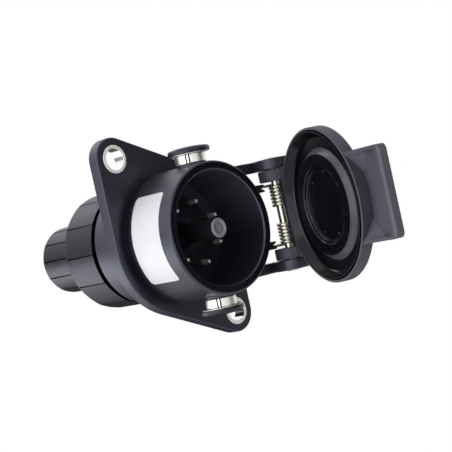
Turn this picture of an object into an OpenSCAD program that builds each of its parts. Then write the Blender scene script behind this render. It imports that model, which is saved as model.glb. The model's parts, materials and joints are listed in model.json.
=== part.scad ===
// Panel-mounted trailer socket with a sprung hinged lid.
// X points to the hinge side, Y to the rear, Z up along the hinge pin.
// The origin is on the barrel axis at the flange's mounting face. Sizes are in millimetres.

/* [Barrel] */
// Outer diameter of the barrel
barrel_d = 52; // [50:0.5:54]
// Diameter of the bore that takes the plug
bore_d = 46; // [44:0.5:47]
// Distance from the mounting face to the mouth
mouth_w = 32; // [31:0.5:36]
// Height of the cavity floor above the mounting face
floor_w = 4; // [3:0.5:6]
// Radius of the fillet between barrel and flange
root_fillet = 1.5; // [1:0.5:3]
// Thickness of the label
label_t = 0.15; // [0.1:0.05:0.3]
// Bare strip between the label and the mouth
label_front = 6.3; // [5:0.1:8]
// Bare strip between the label and the fillet
label_rear = 2.7; // [0.5:0.1:3.5]

/* [Flange] */
// Thickness of the flange
flange_t = 5.3; // [4:0.1:7]
// Diameter of the flange's round middle
flange_d = 62; // [60:0.5:66]
// Distance between the two fixing holes
hole_spacing = 82; // [78:0.5:88]
// Direction of the upper fixing hole, from the hinge side
ear_angle = 123.5; // [118:0.5:128]
// Diameter of the rounded ears
ear_d = 17.2; // [15:0.2:20]
// Outer diameter of the metal bushes
bush_d = 11.1; // [10:0.1:12.6]
// Bore of the metal bushes
hole_d = 8.4; // [6.5:0.1:9]
// Height of the bush above the flange's front face
bush_proud = 0.2; // [0:0.1:0.5]

/* [Rear end] */
// Diameter of the collar behind the flange
collar_d = 48; // [47:0.5:50]
// Length of the collar behind the mounting face
collar_l = 17.2; // [16:0.1:19]
// Width of the gap between collar and rear cap
cap_gap = 1.8; // [0.6:0.1:2.2]
// Length of the rear cap
cap_l = 18.2; // [17:0.1:21]
// Number of grip grooves round the rear cap
cap_grooves = 12; // [8:1:16]
// Diameter of the gland nut
gland_d = 28; // [27:0.5:30]
// Length of the gland nut
gland_l = 28.6; // [27:0.2:32]
// Number of grip grooves round the gland nut
gland_grooves = 12; // [9:1:16]
// Largest cable diameter the gland takes
cable_d = 13; // [8:0.5:13.5]
// Depth of the grip grooves
groove_depth = 0.7; // [0.4:0.1:1]
// Width of the grip grooves
groove_wide = 1; // [0.6:0.1:1.6]

/* [Contacts] */
// Diameter of the circle that the contacts stand on
contact_ring_d = 24.7; // [22:0.1:25.5]
// Diameter of a contact pin
contact_d = 3.5; // [2.6:0.1:3.8]
// Distance of the contact tips behind the mouth
tip_back = 13.8; // [8:0.1:18]
// Diameter of the guide post
post_d = 7.8; // [6:0.2:9]
// Distance of the guide post's end behind the mouth
post_back = 1.2; // [1:0.1:6]

/* [Locking pegs] */
// Distance of the peg axis behind the mouth
peg_back = 9.4; // [9.2:0.1:12]
// Diameter of the metal sleeve
sleeve_d = 12; // [10.6:0.1:12.2]
// Diameter of the peg cap
peg_cap_d = 16.6; // [14:0.2:17]
// Thickness of the peg cap
peg_cap_t = 2.4; // [1.6:0.1:3]

/* [Hinge] */
// Distance of the hinge pin from the barrel axis
hinge_u = 35.2; // [35:0.1:38]
// Diameter of the hinge pin
pin_d = 3.4; // [2.6:0.1:3.6]
// Half length of the gap between the lid's knuckles
knuckle_in = 13.5; // [13.3:0.1:14]
// Thickness of a lid knuckle
knuckle_t = 4.5; // [3:0.1:5]
// Diameter of a lid knuckle
knuckle_d = 12.2; // [9:0.2:12.6]
// Diameter of the housing's hinge eyes
eye_d = 14; // [11:0.2:14.4]
// Thickness of a hinge eye
eye_t = 4.1; // [3:0.1:5]
// Wire diameter of the lid spring
wire_d = 1.2; // [0.8:0.1:1.3]
// Mean radius of the spring's coils
coil_r = 2.6; // [2.5:0.05:2.7]

/* [Lid] */
// Angle the lid stands open in the drawn position
lid_open = 71.3; // [0:0.1:105]
// Radius that the lid adds to the barrel
lid_over = 3.8; // [3.6:0.1:4.2]
// Depth of the lid's straight wall
lid_wall_l = 4.9; // [4.5:0.1:5.4]
// Overall depth of the lid
lid_depth = 6.36; // [6:0.02:7]
// Thickness of the lid's skirt
skirt_t = 1.1; // [0.9:0.1:1.4]
// Length by which the closed lid passes the mouth
lid_lap = 2.7; // [2:0.1:2.8]
// Width of the pull tab
tab_wide = 34.2; // [28:0.2:38]
// Distance of the pull tab's end from the lid axis
tab_reach = 45.1; // [40:0.1:50]
// Depth of the pull tab's outer lip below the rim
tab_step = 3; // [2:0.1:3.6]
// Depth of the pull tab's floor below the rim
tab_floor = 4.7; // [4:0.1:5]
// Width of the pull tab's outer lip
tab_lip = 3.4; // [2:0.1:5]
// Thickness of the pull tab's side ribs
tab_rib = 1.3; // [0.8:0.1:2]
// Radius of the pull tab's corners
tab_corner = 2.5; // [1:0.1:4]

/* [Hidden] */
$fn = 96;
// running clearance on a radius
run = 0.06;
// clearance between pieces that move past each other
pass = 0.3;
// clearance between pieces that are pushed together
push = 0.03;
barrel_r = barrel_d / 2;
bore_r = bore_d / 2;
ear_u = hole_spacing / 2 * cos(ear_angle);
ear_v = hole_spacing / 2 * sin(ear_angle);
collar_r = collar_d / 2;
thread_r = collar_r - 2.3;
chamber_r = thread_r - 2.5;
insert_r = chamber_r - push;
nose_r = insert_r - 1.5;
floor_t = 3;
seat_w = floor_w - floor_t;
insert_back_w = seat_w - 6;
insert_face_w = floor_w + 1;
ring_t = 2.5;
cap_front_w = -collar_l - cap_gap;
cap_back_w = cap_front_w - cap_l;
gasket_t = 1.2;
cap_shoulder_w = cap_back_w + 6;
thread_end_w = cap_shoulder_w + gasket_t;
cap_r = collar_r - 0.2;
gland_r = gland_d / 2;
gland_front_w = cap_back_w - 0.6;
gland_back_w = gland_front_w - gland_l;
// angle at which the tightened gland nut came to rest
gland_rest = -4;
neck_r = gland_r - 2.8;
neck_end_w = gland_front_w - 15.4;
socket_end_w = gland_front_w - 6.2;
washer_w = neck_end_w - 4.6;
washer_t = 1.2;
seal_r = neck_r - 1.9;
cable_r = cable_d / 2;
contact_r = contact_d / 2;
contact_ring_r = contact_ring_d / 2;
contact_step = 360 / 7;
contact_tip_w = mouth_w - tip_back;
post_r = post_d / 2;
post_stem_r = post_r - 0.9;
post_w = mouth_w - post_back;
peg_w = mouth_w - peg_back;
// label: where it starts, counted from the hinge side, and how far it wraps
label_start = 137.5;
label_wrap = 80.5;
label_low_w = flange_t + root_fillet + label_rear;
label_high_w = mouth_w - label_front;
terminal_r = 2.7;
terminal_end_w = insert_back_w - 9;
screw_w = insert_back_w - 5;
screw_r = 1.2;
screw_slot = 0.4;
wire_hole_r = 1.5;
wire_hole_l = 7;
peg_core_r = 4.2;
peg_pad_v = barrel_r + 0.35;
sleeve_t = 3.6;
washer_v = peg_pad_v + 2 * run + sleeve_t;
peg_washer_t = 0.3;
peg_cap_v = washer_v + peg_washer_t;
stem_r = 2;
stem_l = 6;
hinge_w = mouth_w - 1.95;
pin_r = pin_d / 2;
eye_in = knuckle_in + knuckle_t + pass;
eye_out = eye_in + eye_t;
pin_head_r = pin_r + 0.9;
pin_head_t = 0.5;
eye_r = eye_d / 2;
arm_front_w = hinge_w - 5;
arm_back_u = 20;
arm_back_w = 9;
arm_far = norm([hinge_u - arm_back_u, hinge_w - arm_back_w]);
arm_turn = atan2(hinge_w - arm_back_w, hinge_u - arm_back_u) - asin(eye_r / arm_far);
hook_v = 11.5;
hook_t = 3.1;
hook_front_w = hinge_w - 1.55;
hook_back_w = hinge_w - 4.6;
hook_tip_u = hinge_u - 5;
lid_r = barrel_r + lid_over;
rim_w = mouth_w - lid_lap;
cavity_r = lid_r - skirt_t;
cavity_l = 4;
dome_r = lid_r - 4.2;
web_back_w = rim_w + 0.25;
web_front_w = hinge_w + knuckle_d / 2 - 0.6;
dome_turn = atan2(lid_depth - lid_wall_l, lid_r - dome_r);
seal_l = lid_lap + pass;
// lid seal: the raised ring between the channel and the sunk middle
ring_outer_r = bore_r - 2;
ring_inner_r = bore_r - 8.2;
ring_top = 0.95;
disc_r = ring_inner_r - 1.4;
disc_depth = seal_l - 0.05;
pip_r = 0.6;
pip_ring_r = contact_ring_r - 0.05;
// spring: the lid's leg lies along the lid's sloping back
leg_turn = 180 + dome_turn;
groove_off = coil_r - wire_d / 2 - 0.08;
leg_l = 11;
coil_out_v = 12;
coil_in_v = 3.4;
coil_turns = 6;
hook_leg_turn = 154.5;

// Turns the front-view drawing (right, up, out of the mouth) into the shared frame
module place() {
    rotate([90, 0, 0]) children();
}

// Swings a piece drawn on the closed lid to its drawn opening
module swing() {
    translate([hinge_u, -hinge_w, 0])
        rotate([0, 0, lid_open])
            translate([-hinge_u, hinge_w, 0]) place() children();
}

// A straight round bar between two heights
module bar(r, low, high) {
    translate([0, 0, low]) cylinder(h = high - low, r = r);
}

// A ring between two radii and two heights
module band(outer, inner, low, high) {
    difference() {
        bar(outer, low, high);
        bar(inner, low - 1, high + 1);
    }
}

// A round bar standing up along the hinge or peg direction
module upright(r, low, high, u, w) {
    translate([u, 0, w]) rotate([-90, 0, 0])
        translate([0, 0, low]) cylinder(h = high - low, r = r);
}

// The flange's outline: a round middle drawn out to two ears
module flange_outline() {
    far = hole_spacing / 2;
    lean = acos((flange_d - ear_d) / 2 / far);
    rotate(ear_angle) {
        circle(d = flange_d);
        for (side = [0, 180]) rotate(side) {
            translate([far, 0]) circle(d = ear_d);
            polygon([
                [0, 0],
                [flange_d / 2 * cos(lean), -flange_d / 2 * sin(lean)],
                [far + ear_d / 2 * cos(lean), -ear_d / 2 * sin(lean)],
                [far, 0],
                [far + ear_d / 2 * cos(lean), ear_d / 2 * sin(lean)],
                [flange_d / 2 * cos(lean), flange_d / 2 * sin(lean)]
            ]);
        }
    }
}

// One hinge arm in plan, from the barrel wall to the eye
module arm_outline() {
    translate([hinge_u, hinge_w]) circle(r = eye_r);
    polygon([
        [3, arm_front_w],
        [hinge_u - sqrt(eye_r * eye_r - 25), arm_front_w],
        [hinge_u, hinge_w],
        [hinge_u + eye_r * sin(arm_turn), hinge_w - eye_r * cos(arm_turn)],
        [arm_back_u, arm_back_w],
        [3, arm_back_w]
    ]);
}

// Draws a plan of right and out-of-mouth between two heights
module plan(low, high) {
    translate([0, high, 0]) rotate([90, 0, 0]) linear_extrude(high - low) children();
}

// The forked hook that takes the spring's outer leg
module hook() {
    difference() {
        translate([barrel_r - 5, hook_v - hook_t / 2, hook_back_w])
            cube([hook_tip_u - barrel_r + 5, hook_t, hook_front_w - hook_back_w]);
        translate([hook_tip_u - 1.8, hook_v - 0.1, hook_back_w - 1])
            linear_extrude(hook_front_w - hook_back_w + 2)
                polygon([[0, 0], [3, -1.2], [3, 1.2]]);
    }
}

module housing() {
    color([0.09, 0.09, 0.1]) place() difference() {
        union() {
            linear_extrude(flange_t) flange_outline();
            rotate_extrude() polygon([
                [0, 0], [barrel_r, 0], [barrel_r, mouth_w - 0.9],
                [barrel_r - 0.5, mouth_w], [0, mouth_w]
            ]);
            rotate_extrude() difference() {
                translate([barrel_r - 1, flange_t - 1])
                    square([root_fillet + 1, root_fillet + 1]);
                translate([barrel_r + root_fillet, flange_t + root_fillet])
                    circle(r = root_fillet);
            }
            bar(collar_r, -collar_l, 1);
            bar(thread_r, thread_end_w, 1);
            for (side = [0, 1]) mirror([0, side, 0]) {
                plan(eye_in, eye_out) arm_outline();
                hook();
                upright(sleeve_d / 2 - 0.2, 0, peg_pad_v, 0, peg_w);
                upright(peg_core_r, 0, washer_v + peg_washer_t, 0, peg_w);
            }
        }
        bar(bore_r, floor_w, mouth_w + 1);
        translate([0, 0, mouth_w - 0.6])
            cylinder(h = 1.2, r1 = bore_r, r2 = bore_r + 1.2);
        bar(nose_r + push, seat_w - 1, floor_w + 1);
        bar(chamber_r, thread_end_w - 1, seat_w);
        for (side = [-1, 1])
            translate([side * ear_u, side * ear_v, -1])
                cylinder(h = flange_t + 2, d = bush_d);
        upright(pin_r + push, -eye_out - 1, eye_out + 1, hinge_u, hinge_w);
        for (side = [0, 1]) mirror([0, side, 0])
            upright(stem_r + push, peg_cap_v - stem_l - 0.2, peg_cap_v + 1, 0, peg_w);
    }
}

module mounting_bush(side) {
    color([0.78, 0.77, 0.74]) place() translate([side * ear_u, side * ear_v, 0])
        rotate_extrude() polygon([
            [hole_d / 2, 0], [bush_d / 2, 0], [bush_d / 2, flange_t + bush_proud - 0.3],
            [bush_d / 2 - 0.3, flange_t + bush_proud],
            [hole_d / 2 + 0.4, flange_t + bush_proud],
            [hole_d / 2, flange_t + bush_proud - 0.4]
        ]);
}

module mounting_bush_upper() {
    mounting_bush(1);
}

module mounting_bush_lower() {
    mounting_bush(-1);
}

module label() {
    color([0.93, 0.93, 0.93]) place() rotate(label_start) rotate_extrude(angle = label_wrap)
        translate([barrel_r, label_low_w]) square([label_t, label_high_w - label_low_w]);
}

// The spot of one contact on its circle
module contact_spot(number) {
    rotate(180 - (number - 1) * contact_step)
        translate([contact_ring_r, 0, 0]) children();
}

module contact_insert() {
    color([0.1, 0.1, 0.11]) place() difference() {
        union() {
            bar(nose_r, insert_back_w, insert_face_w);
            bar(insert_r, insert_back_w, seat_w);
        }
        for (number = [1:7]) contact_spot(number) {
            bar(contact_r + push, insert_back_w - 1, insert_face_w + 1);
            bar(contact_r + 0.75 + push, insert_back_w - 1, insert_back_w + 3);
        }
        bar(post_stem_r + push, insert_back_w - 1, insert_face_w + 1);
    }
}

module guide_post() {
    color([0.1, 0.1, 0.11]) place() rotate_extrude() polygon([
        [0, insert_back_w], [post_stem_r, insert_back_w], [post_stem_r, insert_face_w],
        [post_r + 2.7, insert_face_w], [post_r, insert_face_w + 7.5],
        [post_r, post_w - 0.7], [post_r - 0.7, post_w],
        [post_r - 1.1, post_w], [post_r - 1.4, post_w - 0.5], [0, post_w - 0.5]
    ]);
}

module contact(number) {
    color([0.8, 0.76, 0.66]) place() contact_spot(number) difference() {
        rotate_extrude() polygon([
            [0, terminal_end_w], [terminal_r, terminal_end_w], [terminal_r, insert_back_w],
            [contact_r + 0.75, insert_back_w], [contact_r + 0.75, insert_back_w + 3],
            [contact_r, insert_back_w + 3], [contact_r, contact_tip_w - 0.8],
            [contact_r - 0.75, contact_tip_w], [0, contact_tip_w]
        ]);
        bar(wire_hole_r, terminal_end_w - 1, terminal_end_w + wire_hole_l);
        translate([0, 0, screw_w]) rotate([0, 90, 0])
            cylinder(h = terminal_r + 1, r = screw_r + push);
    }
}

module contact_1() {
    contact(1);
}

module contact_2() {
    contact(2);
}

module contact_3() {
    contact(3);
}

module contact_4() {
    contact(4);
}

module contact_5() {
    contact(5);
}

module contact_6() {
    contact(6);
}

module contact_7() {
    contact(7);
}

module terminal_screws() {
    color([0.75, 0.74, 0.7]) place() for (number = [1:7]) contact_spot(number)
        translate([0, 0, screw_w]) rotate([0, 90, 0]) difference() {
            translate([0, 0, 1]) cylinder(h = terminal_r - 0.6, r = screw_r);
            translate([-screw_r - 1, -screw_slot / 2, terminal_r - 0.1])
                cube([2 * screw_r + 2, screw_slot, 1]);
        }
}

module insert_ring() {
    color([0.12, 0.12, 0.13]) place()
        band(insert_r, contact_ring_r + terminal_r + 0.9, insert_back_w - ring_t, insert_back_w);
}

module rear_seal() {
    color([0.05, 0.05, 0.05]) place()
        band(thread_r - 0.1, chamber_r + 0.1, cap_shoulder_w, thread_end_w);
}

// Straight grip grooves round a nut, open at the front end
module grooves(count, r, low, high) {
    for (number = [0:count - 1]) rotate(number * 360 / count)
        translate([r - groove_depth, -groove_wide / 2, low])
            cube([groove_depth + 1, groove_wide, high - low]);
}

module rear_cap() {
    color([0.1, 0.1, 0.11]) place() difference() {
        union() {
            rotate_extrude() polygon([
                [0, cap_front_w], [cap_r - 0.4, cap_front_w], [cap_r, cap_front_w - 0.4],
                [cap_r, cap_back_w + 2.2], [cap_r - 0.6, cap_back_w + 0.8],
                [cap_r - 2, cap_back_w], [0, cap_back_w]
            ]);
            bar(neck_r, neck_end_w, cap_back_w + 1);
        }
        bar(thread_r + push, cap_shoulder_w, cap_front_w + 1);
        bar(cable_r + 0.6, neck_end_w - 1, cap_shoulder_w + 1);
        bar(seal_r + push, neck_end_w - 1, socket_end_w);
        grooves(cap_grooves, cap_r, cap_back_w + 2.4, cap_front_w + 1);
    }
}

module gland_seal() {
    color([0.05, 0.05, 0.05]) place()
        band(seal_r, cable_r + 0.1, washer_w, socket_end_w);
}

module gland_washer() {
    color([0.7, 0.7, 0.68]) place()
        band(neck_r - 0.1, cable_r + 0.4, washer_w - washer_t, washer_w);
}

module gland_nut() {
    color([0.1, 0.1, 0.11]) place() difference() {
        rotate_extrude() polygon([
            [cable_r, gland_front_w], [gland_r - 0.4, gland_front_w],
            [gland_r, gland_front_w - 0.4], [gland_r, gland_back_w + 2.6],
            [gland_r - 0.8, gland_back_w + 0.9], [gland_r - 2.6, gland_back_w],
            [cable_r + 0.6, gland_back_w], [cable_r, gland_back_w + 0.6]
        ]);
        bar(neck_r + push, washer_w - washer_t, gland_front_w + 1);
        rotate(gland_rest)
            grooves(gland_grooves, gland_r, gland_back_w + 2.8, gland_front_w + 1);
    }
}

module peg_roller(side) {
    color([0.78, 0.77, 0.74]) place() mirror([0, side, 0]) difference() {
        upright(sleeve_d / 2, peg_pad_v + run, washer_v - run, 0, peg_w);
        upright(peg_core_r + run, 0, washer_v + 1, 0, peg_w);
    }
}

module peg_washer(side) {
    color([0.78, 0.77, 0.74]) place() mirror([0, side, 0]) difference() {
        upright(peg_cap_d / 2 - 0.4, washer_v, peg_cap_v, 0, peg_w);
        upright(peg_core_r + push, 0, peg_cap_v + 1, 0, peg_w);
    }
}

module peg_cap(side) {
    color([0.1, 0.1, 0.11]) place() mirror([0, side, 0]) translate([0, 0, peg_w])
        rotate([-90, 0, 0]) rotate_extrude() polygon([
            [0, peg_cap_v - stem_l], [stem_r, peg_cap_v - stem_l], [stem_r, peg_cap_v],
            [peg_cap_d / 2 - 0.2, peg_cap_v], [peg_cap_d / 2, peg_cap_v + 0.2],
            [peg_cap_d / 2, peg_cap_v + peg_cap_t - 1.4],
            [peg_cap_d / 2 - 0.4, peg_cap_v + peg_cap_t - 0.7],
            [peg_cap_d / 2 - 1.4, peg_cap_v + peg_cap_t - 0.2],
            [peg_cap_d / 2 - 3, peg_cap_v + peg_cap_t], [0, peg_cap_v + peg_cap_t]
        ]);
}

module peg_roller_upper() {
    peg_roller(0);
}

module peg_washer_upper() {
    peg_washer(0);
}

module peg_cap_upper() {
    peg_cap(0);
}

module peg_roller_lower() {
    peg_roller(1);
}

module peg_washer_lower() {
    peg_washer(1);
}

module peg_cap_lower() {
    peg_cap(1);
}

module hinge_pin() {
    color([0.75, 0.73, 0.68]) place() {
        upright(pin_r, -eye_out - 0.2, eye_out + 0.2, hinge_u, hinge_w);
        for (side = [0, 1]) mirror([0, side, 0])
            upright(pin_head_r, eye_out, eye_out + pin_head_t, hinge_u, hinge_w);
    }
}

// One half of the double spring's path: from the hook leg's end, round the coils, to the lid leg's
// end. Each point is [right of the pin, behind the pin, up].
hook_start = hook_leg_turn - 90;
lid_start = leg_turn + lid_open + 90;
coil_sweep = hook_start - lid_start + 360 * (coil_turns + ceil((lid_start - hook_start) / 360));
coil_steps = 90;
half_path = concat(
    [for (far = [8.5, 4]) [
        coil_r * cos(hook_start) + far * cos(hook_leg_turn),
        coil_r * sin(hook_start) + far * sin(hook_leg_turn), coil_out_v
    ]],
    [for (i = [0:coil_steps]) let (turn = hook_start - coil_sweep * i / coil_steps) [
        coil_r * cos(turn), coil_r * sin(turn),
        coil_out_v + (coil_in_v - coil_out_v) * i / coil_steps
    ]],
    [for (far = [4, leg_l - 1.2]) [
        coil_r * cos(lid_start) + far * cos(lid_start - 90),
        coil_r * sin(lid_start) + far * sin(lid_start - 90), coil_in_v
    ]],
    [[
        coil_r * cos(lid_start) + leg_l * cos(lid_start - 90),
        coil_r * sin(lid_start) + leg_l * sin(lid_start - 90), coil_in_v - 1.2
    ]]
);
half_count = len(half_path);
spring_path = concat(half_path, [
    for (i = [half_count - 1:-1:0]) [half_path[i][0], half_path[i][1], -half_path[i][2]]
]);

// A round wire swept along a path, as rings of points joined by triangles
module wire(path, r, sides) {
    count = len(path);
    ahead = [for (i = [0:count - 1]) let (
        step = path[min(i + 1, count - 1)] - path[max(i - 1, 0)]
    ) step / norm(step)];
    points = [for (i = [0:count - 1]) let (
        steep = abs(ahead[i][2]) > 0.9,
        across = cross(ahead[i], steep ? [cos(lid_start), sin(lid_start), 0] : [0, 0, 1]),
        first = across / norm(across),
        second = cross(first, ahead[i])
    ) for (k = [0:sides - 1])
        path[i] + r * (cos(360 * k / sides) * first + sin(360 * k / sides) * second)];
    sides_faces = [for (i = [0:count - 2]) for (k = [0:sides - 1]) let (
        a = i * sides + k, b = i * sides + (k + 1) % sides
    ) each [[a, b, b + sides], [a, b + sides, a + sides]]];
    ends = [
        [for (k = [sides - 1:-1:0]) k],
        [for (k = [0:sides - 1]) (count - 1) * sides + k]
    ];
    polyhedron(points, concat(sides_faces, ends), convexity = 10);
}

module lid_spring() {
    color([0.72, 0.69, 0.6]) translate([hinge_u, -hinge_w, 0])
        wire(spring_path, wire_d / 2, 6);
}

// The pull tab's outline, with rounded outer corners
module tab_outline() {
    half = tab_wide / 2;
    translate([-tab_reach + tab_corner, -half]) square([tab_reach - tab_corner - 20, tab_wide]);
    translate([-tab_reach, -half + tab_corner]) square([tab_corner + 1, tab_wide - 2 * tab_corner]);
    for (side = [-1, 1])
        translate([-tab_reach + tab_corner, side * (half - tab_corner)]) circle(r = tab_corner);
}

// The pull tab: a thin floor with a thick outer lip and two side ribs that rise to the rim
module tab() {
    half = tab_wide / 2;
    translate([0, 0, rim_w + tab_floor])
        linear_extrude(lid_depth - tab_floor) tab_outline();
    translate([0, 0, rim_w + tab_step]) linear_extrude(lid_depth - tab_step) intersection() {
        tab_outline();
        translate([-tab_reach, -half]) square([tab_lip, tab_wide]);
    }
    for (side = [0, 1]) mirror([0, side, 0]) plan(half - tab_rib, half) polygon([
        [-20, rim_w + 0.2], [-sqrt(lid_r * lid_r - half * half) + 0.6, rim_w + 0.2],
        [-tab_reach + tab_corner, rim_w + tab_step], [-tab_reach + tab_corner, rim_w + lid_depth],
        [-20, rim_w + lid_depth]
    ]);
}

module lid() {
    color([0.09, 0.09, 0.1]) swing() difference() {
        union() {
            translate([0, 0, rim_w]) rotate_extrude() polygon([
                [0, 0], [lid_r, 0], [lid_r, lid_wall_l], [dome_r, lid_depth], [0, lid_depth]
            ]);
            tab();
            for (side = [0, 1]) mirror([0, side, 0]) {
                upright(knuckle_d / 2, knuckle_in, knuckle_in + knuckle_t, hinge_u, hinge_w);
                translate([lid_r - 10, knuckle_in, web_back_w])
                    cube([hinge_u - lid_r + 10, knuckle_t, web_front_w - web_back_w]);
            }
        }
        bar(cavity_r, rim_w - 1, rim_w + cavity_l);
        upright(pin_r + run, -eye_out, eye_out, hinge_u, hinge_w);
        // seat for the spring's bridge
        translate([hinge_u, 0, hinge_w]) rotate([0, dome_turn, 0])
            translate([-leg_l - 1.5, -coil_in_v - 1.2, groove_off])
                cube([leg_l + 1.5, 2 * coil_in_v + 2.4, 6]);
    }
}

module lid_seal() {
    color([0.06, 0.06, 0.065]) swing() translate([0, 0, rim_w]) {
        rotate_extrude() polygon([
            [0, cavity_l], [cavity_r - push, cavity_l], [cavity_r - push, 2],
            [cavity_r - 0.5, 0.3], [cavity_r - 0.8, 0.1], [cavity_r - 1.2, 0.2],
            [barrel_r + 0.4, seal_l], [ring_outer_r, seal_l], [ring_outer_r - 0.5, ring_top + 0.45],
            [ring_outer_r - 1.1, ring_top], [ring_inner_r, ring_top],
            [ring_inner_r - 1, ring_top + 0.75], [disc_r, disc_depth], [0, disc_depth]
        ]);
        for (number = [0:6]) rotate(-5 + number * contact_step)
            translate([pip_ring_r, 0, seal_l]) sphere(r = pip_r, $fn = 24);
    }
}

housing();
mounting_bush_upper();
mounting_bush_lower();
label();
contact_insert();
guide_post();
contact_1();
contact_2();
contact_3();
contact_4();
contact_5();
contact_6();
contact_7();
terminal_screws();
insert_ring();
rear_seal();
rear_cap();
gland_seal();
gland_washer();
gland_nut();
peg_roller_upper();
peg_washer_upper();
peg_cap_upper();
peg_roller_lower();
peg_washer_lower();
peg_cap_lower();
hinge_pin();
lid_spring();
lid();
lid_seal();
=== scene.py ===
import json
import math

import bpy
from mathutils import Matrix, Vector


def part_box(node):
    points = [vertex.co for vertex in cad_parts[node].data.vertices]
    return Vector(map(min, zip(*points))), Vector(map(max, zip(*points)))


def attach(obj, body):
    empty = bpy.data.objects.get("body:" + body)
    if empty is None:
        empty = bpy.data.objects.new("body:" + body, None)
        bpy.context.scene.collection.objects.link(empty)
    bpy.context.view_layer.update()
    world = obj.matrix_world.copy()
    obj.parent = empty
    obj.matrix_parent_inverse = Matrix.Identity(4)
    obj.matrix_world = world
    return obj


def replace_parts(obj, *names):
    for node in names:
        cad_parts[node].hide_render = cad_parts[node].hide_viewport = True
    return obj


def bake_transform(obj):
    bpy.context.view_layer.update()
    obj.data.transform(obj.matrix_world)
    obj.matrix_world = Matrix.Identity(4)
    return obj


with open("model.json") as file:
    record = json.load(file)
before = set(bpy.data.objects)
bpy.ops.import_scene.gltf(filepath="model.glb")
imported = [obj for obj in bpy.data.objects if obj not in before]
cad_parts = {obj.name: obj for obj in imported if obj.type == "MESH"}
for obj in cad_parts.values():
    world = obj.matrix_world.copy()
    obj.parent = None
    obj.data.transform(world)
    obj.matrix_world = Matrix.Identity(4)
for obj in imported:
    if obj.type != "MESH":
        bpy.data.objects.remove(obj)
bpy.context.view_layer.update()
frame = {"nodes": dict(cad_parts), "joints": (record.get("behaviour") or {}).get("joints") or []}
joints = {joint["name"]: joint for joint in frame["joints"]}


# Housing. One black moulding of glass-filled nylon: the barrel that takes the plug, the slanted two-eared
# flange, the collar behind it, two hinge arms, two forked spring hooks and the stands of the locking pegs.
# Outlines are drawn as (across, along) in millimetres, and a third number rounds that corner.
MM = 0.001
RIGHT, OUT, UP = Vector((1, 0, 0)), Vector((0, -1, 0)), Vector((0, 0, 1))
AXIS = Vector((0, 0, 0))


def arc(centre, radius, start, end, steps=24):
    """Points round part of a circle, between two angles in degrees."""
    turns = [math.radians(start + (end - start) * k / steps) for k in range(steps + 1)]
    return [(centre[0] + radius * math.cos(t), centre[1] + radius * math.sin(t)) for t in turns]


def rounded(corners, steps=5):
    """The points of an outline, with an arc at each corner that has a rounding."""
    line = []
    for before, corner, after in zip(corners[-1:] + corners[:-1], corners, corners[1:] + corners[:1]):
        here = Vector(corner[:2])
        if len(corner) < 3:
            line.append(here)
            continue
        back = (Vector(before[:2]) - here).normalized()
        ahead = (Vector(after[:2]) - here).normalized()
        half = back.angle(ahead) / 2
        reach = corner[2] / math.tan(half)
        centre = here + (back + ahead).normalized() * corner[2] / math.sin(half)
        start = (here + back * reach - centre).normalized()
        end = (here + ahead * reach - centre).normalized()
        line += [centre + start.slerp(end, k / steps) * corner[2] for k in range(steps + 1)]
    return line


def sketch(name, corners, across, along, at=AXIS, steps=5):
    """Draws an outline in edit mode, from one point round to a filled face, and stays in edit mode."""
    path = [at + (across * p[0] + along * p[1]) * MM for p in rounded(corners, steps)]
    bpy.ops.object.select_all(action="DESELECT")
    bpy.ops.mesh.primitive_plane_add(size=MM)
    piece = bpy.context.object
    piece.name = piece.data.name = name
    bpy.ops.object.mode_set(mode="EDIT")
    bpy.ops.mesh.select_all(action="SELECT")
    bpy.ops.mesh.merge(type="CENTER")
    bpy.ops.transform.translate(value=path[0])
    for here, there in zip(path, path[1:]):
        bpy.ops.mesh.extrude_vertices_move(TRANSFORM_OT_translate={"value": there - here})
    bpy.ops.mesh.select_all(action="SELECT")
    bpy.ops.mesh.edge_face_add()
    return piece


def close_skin():
    """Merges what meets, drops what has no area, and turns all faces outwards. Leaves edit mode."""
    bpy.ops.mesh.select_all(action="SELECT")
    bpy.ops.mesh.remove_doubles(threshold=0.001 * MM)
    bpy.ops.mesh.dissolve_degenerate(threshold=0.0005 * MM)
    bpy.ops.mesh.delete_loose()
    bpy.ops.mesh.select_all(action="SELECT")
    bpy.ops.mesh.normals_make_consistent(inside=False)
    bpy.ops.object.mode_set(mode="OBJECT")


def turned(name, corners, along=OUT, at=AXIS, steps=128, round_steps=5):
    """A piece of revolution: its half section, as (radius, along), spun about its axis."""
    piece = sketch(name, corners, RIGHT, along, at, round_steps)
    bpy.ops.mesh.delete(type="ONLY_FACE")
    bpy.ops.mesh.select_all(action="SELECT")
    bpy.ops.mesh.spin(steps=steps, angle=2 * math.pi, center=at, axis=along)
    close_skin()
    return piece


def prism(name, corners, across, along, at, rise, round_steps=8):
    """A block with a drawn outline, raised along a direction."""
    piece = sketch(name, corners, across, along, at, round_steps)
    bpy.ops.mesh.extrude_region_move(TRANSFORM_OT_translate={"value": rise * MM})
    close_skin()
    return piece


def apply(piece, kind, **settings):
    """Adds a modifier to a piece, sets it up and applies it."""
    bpy.ops.object.select_all(action="DESELECT")
    piece.select_set(True)
    bpy.context.view_layer.objects.active = piece
    modifier = piece.modifiers.new(kind.lower(), kind)
    for name, value in settings.items():
        setattr(modifier, name, value)
    bpy.ops.object.modifier_apply(modifier=modifier.name)


def soften(piece, radius, sharp=40, segments=3):
    """Rounds a piece's sharp edges."""
    apply(piece, "BEVEL", width=radius * MM, segments=segments, limit_method="ANGLE",
          angle_limit=math.radians(sharp), use_clamp_overlap=True)


def fuse(piece, *others, operation="UNION"):
    """Adds other solids to a piece, or cuts them out of it. The others are used up."""
    for other in others:
        apply(piece, "BOOLEAN", object=other, operation=operation, solver="EXACT")
        bpy.data.objects.remove(other)


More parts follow.
